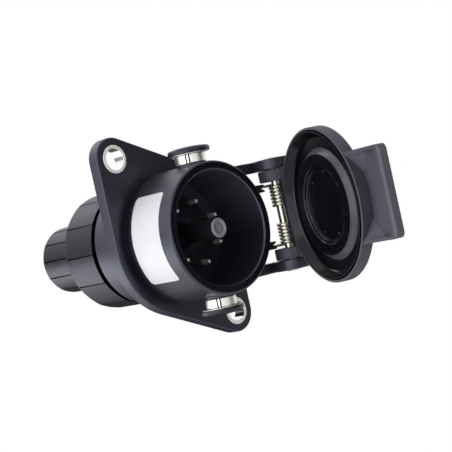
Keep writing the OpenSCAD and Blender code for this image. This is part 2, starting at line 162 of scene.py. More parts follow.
def polish(piece, material, sharp=32):
    """Smooths the shading of round faces, keeps flat ones flat, and puts the material on."""
    bpy.ops.object.select_all(action="DESELECT")
    piece.select_set(True)
    bpy.context.view_layer.objects.active = piece
    bpy.ops.object.shade_smooth_by_angle(angle=math.radians(sharp))
    apply(piece, "WEIGHTED_NORMAL", keep_sharp=True, weight=80)
    piece.data.materials.clear()
    piece.data.materials.append(material)
    return piece


class Tone:
    """A value, colour or direction that varies over a surface. Sums on values add Math nodes."""

    def __init__(self, tree, socket=None):
        self.tree = tree
        self.socket = socket

    def node(self, kind, settings=None, sockets=None, output=0):
        """Adds a node, sets it up, fills or links its sockets, and gives one of its outputs."""
        made = self.tree.nodes.new(kind)
        for name, value in (settings or {}).items():
            setattr(made, name, value)
        for name, value in (sockets or {}).items():
            if isinstance(value, Tone):
                self.tree.links.new(value.socket, made.inputs[name])
            else:
                made.inputs[name].default_value = value
        return Tone(self.tree, made.outputs[output] if made.outputs else None)

    def maths(self, operation, first, second):
        return self.node("ShaderNodeMath", {"operation": operation}, {0: first, 1: second})

    def __add__(self, other):
        return self.maths("ADD", self, other)

    def __sub__(self, other):
        return self.maths("SUBTRACT", self, other)

    def __rsub__(self, other):
        return self.maths("SUBTRACT", other, self)

    def __mul__(self, other):
        return self.maths("MULTIPLY", self, other)

    __radd__, __rmul__ = __add__, __mul__

    def noise(self, scale, detail=3.0, roughness=0.55):
        return self.node("ShaderNodeTexNoise", {}, {
            "Vector": self, "Scale": scale, "Detail": detail, "Roughness": roughness})

    def stretched(self, scale):
        """This place with each direction stretched by its own factor."""
        return self.node("ShaderNodeMapping", {}, {"Vector": self, "Scale": scale})

    def along(self, axis):
        """How far this place lies along one axis."""
        return self.node("ShaderNodeSeparateXYZ", {}, {0: self}, axis)

    def radius(self, centre=AXIS, axis=OUT):
        """How far this place lies from an axis: the barrel's, if no other is given."""
        arm = self.node("ShaderNodeVectorMath", {"operation": "SUBTRACT"}, {0: self, 1: centre})
        across = self.node("ShaderNodeVectorMath", {"operation": "CROSS_PRODUCT"}, {0: arm, 1: axis})
        return self.node("ShaderNodeVectorMath", {"operation": "LENGTH"}, {0: across}, 1)

    def steeper(self, low, high):
        """This value spread so that low becomes 0 and high becomes 1."""
        return self.node("ShaderNodeMapRange", {}, {"Value": self, "From Min": low, "From Max": high})

    def between(self, first, second):
        """A colour that goes from the first to the second as this value goes from 0 to 1."""
        ends = [end if isinstance(end, Tone) else (*end, 1) for end in (first, second)]
        return self.node("ShaderNodeMix", {"data_type": "RGBA"}, {0: self, 6: ends[0], 7: ends[1]}, 2)

    def bump(self, height_mm, strength=1.0):
        """The surface direction that this height field gives."""
        return self.node("ShaderNodeBump", {}, {
            "Strength": strength, "Distance": height_mm * MM, "Height": self})


def blank(name):
    """A new material, its shader, and the place on the piece that its patterns start from."""
    material = bpy.data.materials.new(name)
    material.use_nodes = True
    shader = material.node_tree.nodes["Principled BSDF"]
    place = Tone(material.node_tree).node("ShaderNodeTexCoord", output="Object")
    return material, shader, place


def feed(shader, **tones):
    """Links varying values to a shader's sockets, named with underscores for spaces."""
    for name, tone in tones.items():
        tone.tree.links.new(tone.socket, shader.inputs[name.replace("_", " ").title()])


def covered(place, colour, roughness, gloss, others):
    """A colour and a roughness, with other colours and roughnesses on parts of the piece, some of them
    painted light and shade.

    Each of the others is given as (where it lies, colour, gloss)."""
    for where, other_colour, other_gloss in others:
        share = where(place)
        colour = share.between(colour, other_colour)
        roughness = roughness + share * (gloss - other_gloss)
    return colour, roughness


def moulded_plastic(name, dark, light, gloss, grain_mm, shine=0.5, others=()):
    """Black nylon: a spark-eroded grain, faint flow clouds and a roughness that follows both."""
    material, shader, place = blank(name)
    grain = place.noise(2600, 4, 0.6)
    pits = place.noise(900, 2)
    cloud = place.noise(60, 4)
    flow = place.stretched((30, 140, 30)).noise(1, 3)
    shade = (cloud * 0.5 + flow * 0.3 + grain * 0.5).steeper(0.4, 0.9)
    colour = shade.between(dark, light)
    roughness = 1 - gloss - 0.08 + cloud * 0.1 + grain * 0.1
    colour, roughness = covered(place, colour, roughness, gloss, others)
    feed(shader, base_color=colour, roughness=roughness,
         normal=(grain * 0.7 + pits * 0.5).bump(grain_mm, 0.55))
    shader.inputs["Specular IOR Level"].default_value = shine
    shader.inputs["Specular Tint"].default_value = (0.74, 0.77, 1, 1)
    return material


barrel_r, bore_r, mouth, mouth_round, lead_in = 26, 23, 32, 0.9, 0.6
flange_t, flange_r, ear_r, disc_r, disc_back, sink = 5.3, 31, 8.6, 29.6, 3, 0.05
root_fillet, collar_r, collar_l, relief_r, relief_l = 0.12, 24, 16.6, 20.3, 2.4
neck_r, neck_l, thread_turns, thread_start, thread_pitch, thread_depth = 21.7, 30, 6, 2.6, 1.5, 0.5
cavity_floor, nose_r, seat, chamber_r = 4.95, 17.7, 1, 19.2


def in_the_bore(place):
    """The wall and floor inside the barrel, where the colour is painted a little darker as shade and the
    roughness is a little higher.
    """
    inside = place.radius().steeper((bore_r + 0.2) * MM, bore_r * MM)
    return inside * place.along("Y").steeper(-3.5 * MM, -3.9 * MM)


def on_the_land(place):
    """The ring round the mouth, where the mould is polished."""
    inside = place.radius().steeper((barrel_r - 0.65) * MM, (barrel_r - 0.85) * MM)
    outside = place.radius().steeper((bore_r - 0.2) * MM, (bore_r - 0.1) * MM)
    return inside * outside * place.along("Y").steeper((0.4 - mouth) * MM, (0.2 - mouth) * MM)


def painted_highlight_at_the_inner_edge(place):
    """The chamfer inside the mouth, painted pale as a highlight, brightest on its left and upper parts."""
    inside = place.radius().steeper((bore_r - 0.05) * MM, (bore_r - 0.18) * MM)
    ring = inside * place.along("Y").steeper((0.8 - mouth) * MM, (0.6 - mouth) * MM)
    lit_side = place.along("X").steeper(16 * MM, -8 * MM) * place.along("Z").steeper(-15 * MM, -3 * MM)
    return ring * (place.noise(300, 4) * 0.4 + 0.7) * (lit_side * 0.8 + 0.1)


def painted_shade_at_the_root(place):
    """The foot of the barrel and the flange round it on the left, painted near black as shade in the corner
    between them, with a lower roughness.
    """
    foot = place.along("Y").steeper(-10 * MM, -6.5 * MM) * place.along("Y").steeper(-5 * MM, -5.2 * MM)
    ring = place.radius().steeper(30 * MM, 26.8 * MM) * place.radius().steeper(24 * MM, 25 * MM)
    return foot * ring * place.along("X").steeper(-3 * MM, -15 * MM)


def in_the_relief(place):
    """The turned-down neck between the collar and the rear cap, which light hardly reaches."""
    inside = place.radius().steeper((collar_r - 0.4) * MM, (collar_r - 1) * MM)
    return inside * place.along("Y").steeper((collar_l - 0.3) * MM, (collar_l + 0.1) * MM)


def painted_light_high_in_the_bore(place):
    """The upper wall inside the barrel, painted lighter towards the top as light that reaches it from
    below.
    """
    return in_the_bore(place) * place.along("Z").steeper(-4 * MM, 14 * MM)


housing_plastic = moulded_plastic(
    "housing_plastic", (0.014, 0.014, 0.019), (0.024, 0.024, 0.032), gloss=0.62, grain_mm=0.02, shine=0.75,
    # inside the bore the colour is painted a little darker, as shade
    others=[(in_the_bore, (0.011, 0.012, 0.015), 0.6),
            # painted light on the upper wall of the bore
            (painted_light_high_in_the_bore, (0.042, 0.044, 0.056), 0.55),
            (on_the_land, (0.004, 0.004, 0.006), 0.8),
            # painted shade at the foot of the barrel, on its left side
            (painted_shade_at_the_root, (0.002, 0.002, 0.003), 0.8),
            (in_the_relief, (0.001, 0.001, 0.0015), 0.92),
            # painted highlight on the mouth's inner chamfer
            (painted_highlight_at_the_inner_edge, (0.13, 0.13, 0.148), 0.3)])

# thread of the rear neck, as rings behind a relief
thread = []
for turn in range(thread_turns):
    crest = -collar_l - thread_start - turn * thread_pitch
    thread += [(neck_r, crest), (neck_r - thread_depth, crest - thread_pitch / 2)]
housing = turned("housing_moulding", [
    (0, mouth), (barrel_r, mouth, mouth_round), (barrel_r, flange_t - sink, root_fillet),
    (disc_r, flange_t - sink), (disc_r, disc_back), (collar_r, disc_back), (collar_r, -collar_l, 0.15),
    (relief_r, -collar_l), (relief_r, -collar_l - relief_l), *thread,
    (neck_r, -neck_l + 1), (neck_r - 0.8, -neck_l), (0, -neck_l)], steps=160)

# flange: the sides run straight from the round middle to the ears, so it is a rhombus with round corners
bush_low, bush_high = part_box("mounting_bush_upper")
ear = (bush_low + bush_high) / 2 / MM
ear_far, ear_turn = math.hypot(ear.x, ear.z), math.atan2(ear.z, ear.x)
lean = math.acos((flange_r - ear_r) / ear_far)
long_point, short_point = flange_r / math.cos(lean), flange_r / math.sin(lean)
ear_way = RIGHT * math.cos(ear_turn) + UP * math.sin(ear_turn)
side_way = UP * math.cos(ear_turn) - RIGHT * math.sin(ear_turn)
flange = prism("flange", [
    (long_point, 0, ear_r), (0, short_point, flange_r), (-long_point, 0, ear_r), (0, -short_point, flange_r)
], ear_way, side_way, AXIS, OUT * flange_t, round_steps=32)
soften(flange, 0.55)
fuse(housing, flange)

# hinge arms and spring hooks, in pairs above and below
hinge = Vector(joints["lid_hinge"]["pos_m"])
pin_u, pin_w = hinge.x / MM, -hinge.y / MM
eye_r, eye_in, eye_t = 7, 18.3, 4.1
arm_front, arm_back, arm_root, arm_foot = pin_w - 5, 9, 3, 20
arm_plan = [
    (arm_root, arm_front), *arc((pin_u, pin_w), eye_r, 225.6, -51.5, 40), (arm_foot, arm_back),
    (arm_root, arm_back)]
hook_root, hook_tip, hook_low, hook_high, hook_front, hook_back = 21, 30.2, 9.95, 13.05, 28.5, 25.45
notch_low, notch_middle, notch_high, notch_depth = 10.7, 11.4, 12.1, 1.8
fork = [
    (hook_root, hook_low), (hook_tip, hook_low), (hook_tip, notch_low),
    (hook_tip - notch_depth, notch_middle), (hook_tip, notch_high), (hook_tip, hook_high),
    (hook_root, hook_high)]
for side in (1, -1):
    arm = prism("arm", arm_plan, RIGHT, OUT, UP * side * eye_in * MM, UP * side * eye_t)
    soften(arm, 0.45)
    hook = prism("hook", fork, RIGHT, UP * side, OUT * hook_back * MM, OUT * (hook_front - hook_back))
    soften(hook, 0.25, segments=2)
    fuse(housing, arm, hook)

# stands of the locking pegs
peg = Vector(joints["peg_turn_upper"]["pos_m"])
peg_axis = Vector((peg.x, peg.y, 0))
sleeve_low, sleeve_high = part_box("peg_roller_upper")
running_gap, stand_foot, stand_r, core_r = 0.06, 18, 5.8, 4.2
stand_top, core_top = sleeve_low.z / MM - running_gap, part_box("peg_washer_upper")[1].z / MM
for side in (1, -1):
    stand = turned("stand", [
        (0, stand_foot), (stand_r, stand_foot), (stand_r, stand_top, 0.2), (core_r, stand_top),
        (core_r, core_top), (0, core_top)], UP * side, peg_axis, 64)
    fuse(housing, stand)

# bore with its chamfered mouth, floor and rear chamber, then the holes for bushes and hinge pin
bore = turned("bore", [
    (0, mouth + 1), (bore_r + lead_in, mouth + 1), (bore_r - lead_in, mouth - lead_in, 0.15),
    (bore_r - lead_in, cavity_floor, 0.1), (nose_r, cavity_floor), (nose_r, seat), (chamber_r, seat),
    (chamber_r, -neck_l - 1), (0, -neck_l - 1)], steps=160)
fuse(housing, bore, operation="DIFFERENCE")
bush_r = (bush_high.x - bush_low.x) / 2 / MM
ear_hole_r, ear_hole_l, pin_hole_r, pin_reach = bush_r + 0.02, 9, 1.73, 30
for side in (1, -1):
    ear_hole = turned("ear_hole", [(0, -1), (ear_hole_r, -1), (ear_hole_r, ear_hole_l), (0, ear_hole_l)],
                      OUT, Vector((ear.x, 0, ear.z)) * side * MM, 64)
    fuse(housing, ear_hole, operation="DIFFERENCE")
pin_hole = turned("pin_hole", [
    (0, -pin_reach), (pin_hole_r, -pin_reach), (pin_hole_r, pin_reach), (0, pin_reach)], UP, hinge, 32)
fuse(housing, pin_hole, operation="DIFFERENCE")
polish(housing, housing_plastic)
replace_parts(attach(housing, "socket"), "housing")


# Mounting bushes. Two short turned steel sleeves with bright plating, pressed into the flange's ears so
# that the fixing bolts clamp metal and not plastic. They stand a little proud of the flange.
def moved(piece, matrix):
    """Moves a finished piece and writes its new place into its mesh."""
    bpy.ops.object.select_all(action="DESELECT")
    piece.select_set(True)
    bpy.context.view_layer.objects.active = piece
    piece.matrix_world = matrix
    bpy.ops.object.transform_apply(location=True, rotation=True, scale=True)
    return piece


def copied(piece, name):
    """A copy of a piece, with a mesh of its own."""
    bpy.ops.object.select_all(action="DESELECT")
    piece.select_set(True)
    bpy.context.view_layer.objects.active = piece
    bpy.ops.object.duplicate(linked=False)
    twin = bpy.context.object
    twin.name = twin.data.name = name
    return twin


def turned_metal(name, dark, light, along, polish_level, others=()):
    """Plated steel with the fine rings that a lathe leaves round one axis."""
    material, shader, place = blank(name)
    rings = place.stretched(tuple(160 if axis else 8 for axis in along)).noise(30, 4, 0.7)
    haze = place.noise(220, 3)
    colour = (rings * 0.5 + haze * 0.5).steeper(0.3, 0.7).between(dark, light)
    roughness = 1 - polish_level - 0.1 + rings * 0.14 + haze * 0.1
    colour, roughness = covered(place, colour, roughness, polish_level, others)
    feed(shader, base_color=colour, roughness=roughness, normal=rings.bump(0.002, 0.15))
    shader.inputs["Metallic"].default_value = 1
    return material


bolt_hole_r, bush_l, edge = 4.2, (bush_high.y - bush_low.y) / MM, 0.15


def in_the_holes(place):
    """The walls of the two bolt holes, drawn smooth."""
    upper, lower = (place.radius(Vector((ear.x, 0, ear.z)) * side * MM) for side in (1, -1))
    low, high = (bolt_hole_r + 0.1) * MM, (bolt_hole_r + 0.02) * MM
    return upper.steeper(low, high) * 0.78 + lower.steeper(low, high)


bush_metal = turned_metal("bush_metal", (0.88, 0.87, 0.85), (0.98, 0.97, 0.95), (0, 1, 0), 0.42,
                          others=[(in_the_holes, (0.80, 0.78, 0.72), 0.93)])
upper_bush = turned("upper_bush", [
    (bolt_hole_r, 0, edge), (bush_r, 0, 0.2), (bush_r, bush_l, edge), (bolt_hole_r, bush_l, edge)
], OUT, Vector((ear.x, 0, ear.z)) * MM, 64)
across_the_flange = Matrix.Translation(Vector((ear.x, 0, ear.z)) * -2 * MM)
lower_bush = moved(copied(upper_bush, "lower_bush"), across_the_flange)
for bush, node in ((upper_bush, "mounting_bush_upper"), (lower_bush, "mounting_bush_lower")):
    polish(bush, bush_metal)
    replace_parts(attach(bush, "socket"), node)


# Label. A white satin film with rounded corners, stuck round the barrel's left side. It is left bare.
# It is drawn flat, cut into narrow strips, and each strip is then laid on the barrel.
label_low, label_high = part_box("label")
label_wrap, label_start = math.radians(80.5), math.radians(137.5)
label_t, label_corner, glue_t, strips = 0.14, 1.6, 0.01, 40
label_w = barrel_r * label_wrap / 2
label_film = prism("label_film", [
    (-label_w, -label_high.y / MM, label_corner), (label_w, -label_high.y / MM, label_corner),
    (label_w, -label_low.y / MM, label_corner), (-label_w, -label_low.y / MM, label_corner)
], RIGHT, OUT, AXIS, UP * label_t)
bpy.ops.object.mode_set(mode="EDIT")
for k in range(1, strips):
    bpy.ops.mesh.select_all(action="SELECT")
    cut = RIGHT * (-1 + 2 * k / strips) * label_w * MM
    bpy.ops.mesh.bisect(plane_co=cut, plane_no=RIGHT)
bpy.ops.object.mode_set(mode="OBJECT")
for vertex in label_film.data.vertices:
    turn = label_start + label_wrap / 2 + vertex.co.x / (barrel_r * MM)
    height = barrel_r * MM + glue_t * MM + vertex.co.z
    vertex.co = (height * math.cos(turn), vertex.co.y, height * math.sin(turn))
bpy.ops.object.mode_set(mode="EDIT")
close_skin()

film, shader, place = blank("label_film")
fibre = place.stretched((1, 3, 1)).noise(1400, 4, 0.6)
blotch = place.noise(120, 3)
paper = (fibre * 0.4 + blotch * 0.6).steeper(0.3, 0.7).between((0.76, 0.77, 0.79), (0.82, 0.825, 0.84))
feed(shader, base_color=paper, roughness=0.34 + fibre * 0.12, normal=fibre.bump(0.012, 0.3))
polish(label_film, film)
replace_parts(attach(label_film, "socket"), "label")


# Contact carrier and guide post. The carrier is a stepped nylon disc that closes the barrel's floor; the
# post stands in its middle and guides the plug. The post's end is dished, with a raised ring round it.
def dress(node, material):
    """Puts a material on a piece that keeps its plain form."""
    frame["nodes"][node].data.materials.clear()
    frame["nodes"][node].data.materials.append(material)


def at_the_tip(place):
    """The end of the guide post, scuffed pale by plugs."""
    return place.along("Y").steeper(-30 * MM, -30.4 * MM) * (place.noise(500, 4) * 0.5 + 0.6)


insert_plastic = moulded_plastic(
    "insert_plastic", (0.013, 0.013, 0.016), (0.021, 0.021, 0.026), gloss=0.5, grain_mm=0.02,
    others=[(at_the_tip, (0.42, 0.42, 0.47), 0.45)])
# the carrier's colour is painted darker than the post's, as shade at the bottom of the bore
shaded_carrier_plastic = moulded_plastic(
    "shaded_carrier_plastic", (0.007, 0.007, 0.009), (0.012, 0.012, 0.015), gloss=0.5, grain_mm=0.02)
dress("contact_insert", shaded_carrier_plastic)
post_low, post_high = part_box("guide_post")
post_tip, post_stem, carrier_face, post_r, stem_r = -post_low.y / MM, -post_high.y / MM, 5, 3.9, 3
foot_w, foot_l, end_w, dish_w, dish_depth = 2.7, 7.5, 1.1, 1.5, 0.45
guide_post = turned("guide_post_moulding", [
    (0, post_stem), (stem_r, post_stem), (stem_r, carrier_face), (post_r + foot_w, carrier_face),
    (post_r, carrier_face + foot_l, 6), (post_r, post_tip - 0.1, 0.75), (post_r - end_w, post_tip, 0.2),
    (post_r - dish_w, post_tip - dish_depth - 0.1, 0.3), (0, post_tip - dish_depth)], OUT, AXIS, 64)
polish(guide_post, insert_plastic)
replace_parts(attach(guide_post, "socket"), "guide_post")


# Contacts. Seven turned brass pins with nickel plating, held in the carrier on one circle. Each tapers to
# a slim tip in front and has a bored wire terminal with a clamp screw behind.
def painted_highlight_at_the_pin_ends(place):
    """The front end of each pin, painted brighter as a highlight."""
    return place.along("Y").steeper(-13.6 * MM, -15 * MM)


pin_metal = turned_metal("pin_metal", (0.40, 0.40, 0.39), (0.56, 0.56, 0.55), (0, 1, 0), 0.7,
                         # painted highlight at the front ends of the pins
                         others=[(painted_highlight_at_the_pin_ends, (0.86, 0.86, 0.85), 0.5)])
first_low, first_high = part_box("contact_1")
ring_x = (first_low.x + first_high.x) / 2 / MM
tip, tip_r, waist_l, waist_r, taper_l, pin_r = 18.2, 0.65, 3, 1.1, 6.5, 1.75
collar_end, shoulder, shoulder_r, terminal_end, terminal_r = -2, -5, 2.5, -14, 2.7
wire_hole_r, wire_hole_l, screw_hole_r, screw_hole_l, screw_y = 1.5, 7, 1.23, 4, 10
contacts = 7
contact_step = 2 * math.pi / contacts
first_pin = turned("contact_pin_1", [
    (0, tip), (tip_r, tip, 0.3), (waist_r, tip - waist_l), (pin_r, tip - taper_l, 3), (pin_r, collar_end),
    (shoulder_r, collar_end), (shoulder_r, shoulder), (terminal_r, shoulder),
    (terminal_r, terminal_end, 0.3), (wire_hole_r, terminal_end, 0.3),
    (wire_hole_r, terminal_end + wire_hole_l), (0, terminal_end + wire_hole_l + 0.6)
], OUT, RIGHT * ring_x * MM, 32)
screw_place = Vector((ring_x, screw_y, 0)) * MM
screw_hole = turned("screw_hole", [
    (0, 0), (screw_hole_r, 0), (screw_hole_r, screw_hole_l), (0, screw_hole_l)], UP, screw_place, 24)
moved(screw_hole, Matrix.Translation(screw_place) @ Matrix.Rotation(-math.pi / 2, 4, "Y")
      @ Matrix.Translation(-screw_place))
fuse(first_pin, screw_hole, operation="DIFFERENCE")
pins = [first_pin]
for number in range(2, contacts + 1):
    turn = Matrix.Rotation(contact_step * (number - 1), 4, "Y")
    pins.append(moved(copied(first_pin, f"contact_pin_{number}"), turn))
for number, pin in enumerate(pins, 1):
    polish(pin, pin_metal)
    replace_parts(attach(pin, "socket"), f"contact_{number}")
screw_steel = turned_metal("screw_steel", (0.5, 0.49, 0.46), (0.74, 0.73, 0.7), (1, 1, 1), 0.66)
dress("terminal_screws", screw_steel)


# Carrier ring and rear gasket. The ring screws in behind the carrier and holds it; the flat rubber gasket
# seals the rear cap on the end of the threaded neck. Both sit inside, so their plain forms stay.
def soft_rubber(name, dark, light, gloss, others=()):
    """Black rubber: a fine matt skin with a faint pale bloom."""
    material, shader, place = blank(name)
    skin = place.noise(3200, 4, 0.65)
    bloom = place.noise(140, 4, 0.6)
    colour = (bloom * 0.7 + skin * 0.3).steeper(0.35, 0.7).between(dark, light)
    roughness = 1 - gloss - 0.05 + bloom * 0.06 + skin * 0.06
    colour, roughness = covered(place, colour, roughness, gloss, others)
    feed(shader, base_color=colour, roughness=roughness, normal=skin.bump(0.01, 0.3))
    shader.inputs["Specular IOR Level"].default_value = 0.35
    shader.inputs["Specular Tint"].default_value = (0.86, 0.88, 1, 1)
    return material


seal_rubber = soft_rubber("seal_rubber", (0.003, 0.003, 0.004), (0.005, 0.005, 0.007), 0.8)
dress("insert_ring", insert_plastic)
dress("rear_seal", seal_rubber)


# Rear cap. A black nylon screw cap over the threaded neck, with a threaded neck of its own for the cable
# gland. Twelve straight grip grooves run along it, deepest at the front. Its rear edge and the gland nut
# stand about a millimetre further back than the plain solids.
cap_low, cap_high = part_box("rear_cap")
collar_gap, close_gap = 0.5, 0.03
cap_front, cap_end, cap_r = -cap_low.y / MM - collar_gap, -cap_high.y / MM, cap_high.x / MM


def on_the_front_face(place):
    """The rear cap's front face, in the shade of the collar."""
    back = place.along("Y")
    return back.steeper((0.12 - cap_front) * MM, (0.04 - cap_front) * MM) * back.steeper(0, MM)


cap_plastic = moulded_plastic(
    "cap_plastic", (0.006, 0.006, 0.008), (0.014, 0.014, 0.018), gloss=0.64, grain_mm=0.018,
    others=[(on_the_front_face, (0.001, 0.001, 0.0015), 0.92)])
cap_back, cap_shoulder, gland_neck_r = -38.1, -31.2, 11.2
seal_seat, seal_seat_r, cable_way_r = -44, 9.33, 7.1
rear_cap = turned("rear_cap_moulding", [
    (neck_r + close_gap, cap_front, 0.3), (cap_r, cap_front, 0.2), (cap_r, cap_back, 2),
    (gland_neck_r, cap_back, 0.3), (gland_neck_r, cap_end, 0.5), (seal_seat_r, cap_end, 0.3),
    (seal_seat_r, seal_seat), (cable_way_r, seal_seat), (cable_way_r, cap_shoulder),
    (neck_r + close_gap, cap_shoulder)], steps=144)


def grip_grooves(piece, count, radius, front, end, start=0):
    """Flattens panels round a turned piece and cuts a groove between each two, shallower to the rear."""
    half, skin, flatness = math.pi / count, 2 * MM, 0.2
    for vertex in piece.data.vertices:
        far = math.hypot(vertex.co.x, vertex.co.z)
        off = (math.atan2(vertex.co.z, vertex.co.x) - start) % (2 * half) - half
        share = max(0, min(1, (far - radius * MM + skin) / skin))
        flat = 1 - flatness * share * (1 - math.cos(half) / math.cos(off))
        vertex.co.x, vertex.co.z = vertex.co.x * flat, vertex.co.z * flat
    deep, shallow, wide = 0.7, 0.25, 0.5
    for number in range(count):
        turn = start + 2 * half * number
        outward = RIGHT * math.cos(turn) + UP * math.sin(turn)
        sideways = UP * math.cos(turn) - RIGHT * math.sin(turn)
        groove = prism("groove", [(radius - deep, 0), (radius + 1, -wide), (radius + 1, wide)],
                       outward, sideways, OUT * end * MM, OUT * (front - end))
        tail = outward * radius * MM + OUT * front * MM
        tilt = math.atan2(deep - shallow, front - end)
        moved(groove, Matrix.Translation(tail) @ Matrix.Rotation(tilt, 4, sideways)
              @ Matrix.Translation(-tail))
        fuse(piece, groove, operation="DIFFERENCE")


grip_count = 12
grip_grooves(rear_cap, grip_count, cap_r, cap_front + 1, cap_back + 1.6)
polish(rear_cap, cap_plastic)
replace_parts(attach(rear_cap, "socket"), "rear_cap")


# Cable gland. A rubber sleeve and a steel washer inside a grooved nylon nut; screwing the nut up squeezes
# the sleeve round the cable. No cable is fitted, so the nut's round exit is open.
gland_low, gland_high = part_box("gland_nut")
nut_gap, nut_reach, nut_turn = 0.7, 1.2, math.radians(-4)
gland_front, gland_end = -gland_low.y / MM - nut_gap, -gland_high.y / MM - nut_reach
gland_r, exit_r, washer_seat, nut_bore_r = gland_high.x / MM, 6.5, -59, gland_neck_r + close_gap
gland_nut = turned("gland_nut_moulding", [
    (nut_bore_r, gland_front, 0.3), (gland_r, gland_front, 0.3), (gland_r, gland_end, 2.4),
    (exit_r, gland_end, 0.7), (exit_r, washer_seat), (nut_bore_r, washer_seat)], steps=144)
grip_grooves(gland_nut, grip_count, gland_r, gland_front + 1, gland_end + 2, nut_turn)
polish(gland_nut, cap_plastic)
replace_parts(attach(gland_nut, "socket"), "gland_nut")
dress("gland_seal", seal_rubber)
dress("gland_washer", bush_metal)


# Locking pegs. On each stand a plated steel sleeve with two fine seams turns freely under a thin steel
# washer, and a domed nylon cap with a stem closes the top. The plug's locking lever grips these sleeves.
sleeve_r, sleeve_foot, sleeve_top = sleeve_high.x / MM, sleeve_low.z / MM, sleeve_high.z / MM
washer_low, washer_high = (corner.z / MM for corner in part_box("peg_washer_upper"))
washer_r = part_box("peg_washer_upper")[1].x / MM
seam_turns, seam_depth, seam_half = (math.radians(-147.5), math.radians(-135.3)), 1.2, 0.3
peg_cap_low, peg_cap_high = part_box("peg_cap_upper")
peg_cap_r, peg_cap_foot, peg_cap_top = peg_cap_high.x / MM, peg_cap_low.z / MM, peg_cap_high.z / MM
peg_stem_r, dome_w, dome_side, dome_shoulder, dome_rise = 2, 3.6, 0.4, 0.15, 0.35


def painted_shade_in_the_seams(place):
    """The inside of the sleeves' seams, painted dark as shade in the narrow slots."""
    return place.radius(peg_axis, UP).steeper((sleeve_r - 0.1) * MM, (sleeve_r - 0.25) * MM)


peg_metal = turned_metal("peg_metal", (0.74, 0.73, 0.69), (0.92, 0.91, 0.87), (0, 0, 1), 0.64)
sleeve_metal = turned_metal("sleeve_metal", (0.74, 0.73, 0.69), (0.92, 0.91, 0.87), (0, 0, 1), 0.64,
                            # painted shade inside the sleeves' seams
                            others=[(painted_shade_in_the_seams, (0.05, 0.04, 0.032), 0.3)])
for side, height in ((1, "upper"), (-1, "lower")):
    sleeve = turned(f"{height}_sleeve_turned", [
        (core_r + running_gap, sleeve_foot, 0.2), (sleeve_r, sleeve_foot, 0.3),
        (sleeve_r, sleeve_top, 0.3), (core_r + running_gap, sleeve_top, 0.2)], UP * side, peg_axis, 64)
    for turn in seam_turns:
        outward = RIGHT * math.cos(turn) - OUT * math.sin(turn)
        sideways = RIGHT * -math.sin(turn) - OUT * math.cos(turn)
        below, seam_l = peg_axis + UP * side * (sleeve_low.z - MM), sleeve_top - sleeve_foot + 2
        seam = prism("seam", [
            (sleeve_r - seam_depth, -seam_half), (sleeve_r + 0.5, -seam_half),
            (sleeve_r + 0.5, seam_half), (sleeve_r - seam_depth, seam_half)
        ], outward, sideways, below, UP * side * seam_l)
        fuse(sleeve, seam, operation="DIFFERENCE")
    polish(sleeve, sleeve_metal)
    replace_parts(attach(sleeve, f"{height}_sleeve"), f"peg_roller_{height}")
    washer = turned(f"{height}_peg_washer", [
        (core_r + close_gap, washer_low), (washer_r, washer_low, 0.12), (washer_r, washer_high, 0.12),
        (core_r + close_gap, washer_high)], UP * side, peg_axis, 64)
    polish(washer, peg_metal)
    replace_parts(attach(washer, "socket"), f"peg_washer_{height}")
    cap = turned(f"{height}_peg_cap", [
        (0, peg_cap_foot), (peg_stem_r, peg_cap_foot, 0.4), (peg_stem_r, washer_high),
        (peg_cap_r, washer_high, 0.2), (peg_cap_r, peg_cap_top - dome_side, 1.2),
        (peg_cap_r - dome_w, peg_cap_top + dome_shoulder, 4), (0, peg_cap_top + dome_rise)
    ], UP * side, peg_axis, 64)
    polish(cap, cap_plastic)
    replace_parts(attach(cap, "socket"), f"peg_cap_{height}")


# Hinge pin. A drawn steel pin pressed through both housing eyes, with a low riveted head at each end.
# The lid's knuckles turn on it.
pin_steel = turned_metal("pin_steel", (0.58, 0.55, 0.48), (0.80, 0.77, 0.69), (0, 0, 1), 0.76)
head_low, head_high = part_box("hinge_pin")
shaft_r, head_r = 1.7, (head_high.x - head_low.x) / 2 / MM
head_top, head_seat = head_high.z / MM, eye_in + eye_t
hinge_pin = turned("hinge_pin_riveted", [
    (0, -head_top), (head_r - 0.2, -head_top, 0.3), (head_r, -head_seat), (shaft_r, -head_seat),
    (shaft_r, head_seat), (head_r, head_seat), (head_r - 0.2, head_top, 0.3), (0, head_top)], UP, hinge, 48)
polish(hinge_pin, pin_steel)
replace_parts(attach(hinge_pin, "socket"), "hinge_pin")


# Lid. A shallow round nylon cover with a conical back, two knuckles on the hinge pin with a straight edge
# between them, and a pull tab shaped as a tray: a thin floor, a thick outer lip, two side ribs and sloping
# webs in its root corners. It is drawn shut and then swung open.
rim_w = 29.3
rim = Vector((0, -rim_w * MM, 0))
lid_r, lid_wall, lid_depth, lid_back_r, skirt_r, cavity_l = 29.8, 4.9, 6.36, 25.6, 28.7, 4
lid = turned("lid_moulding", [
    (0, 0), (lid_r, 0, 0.35), (lid_r, lid_wall, 0.9), (lid_back_r, lid_depth, 1.5), (0, lid_depth)
], OUT, rim, 160)

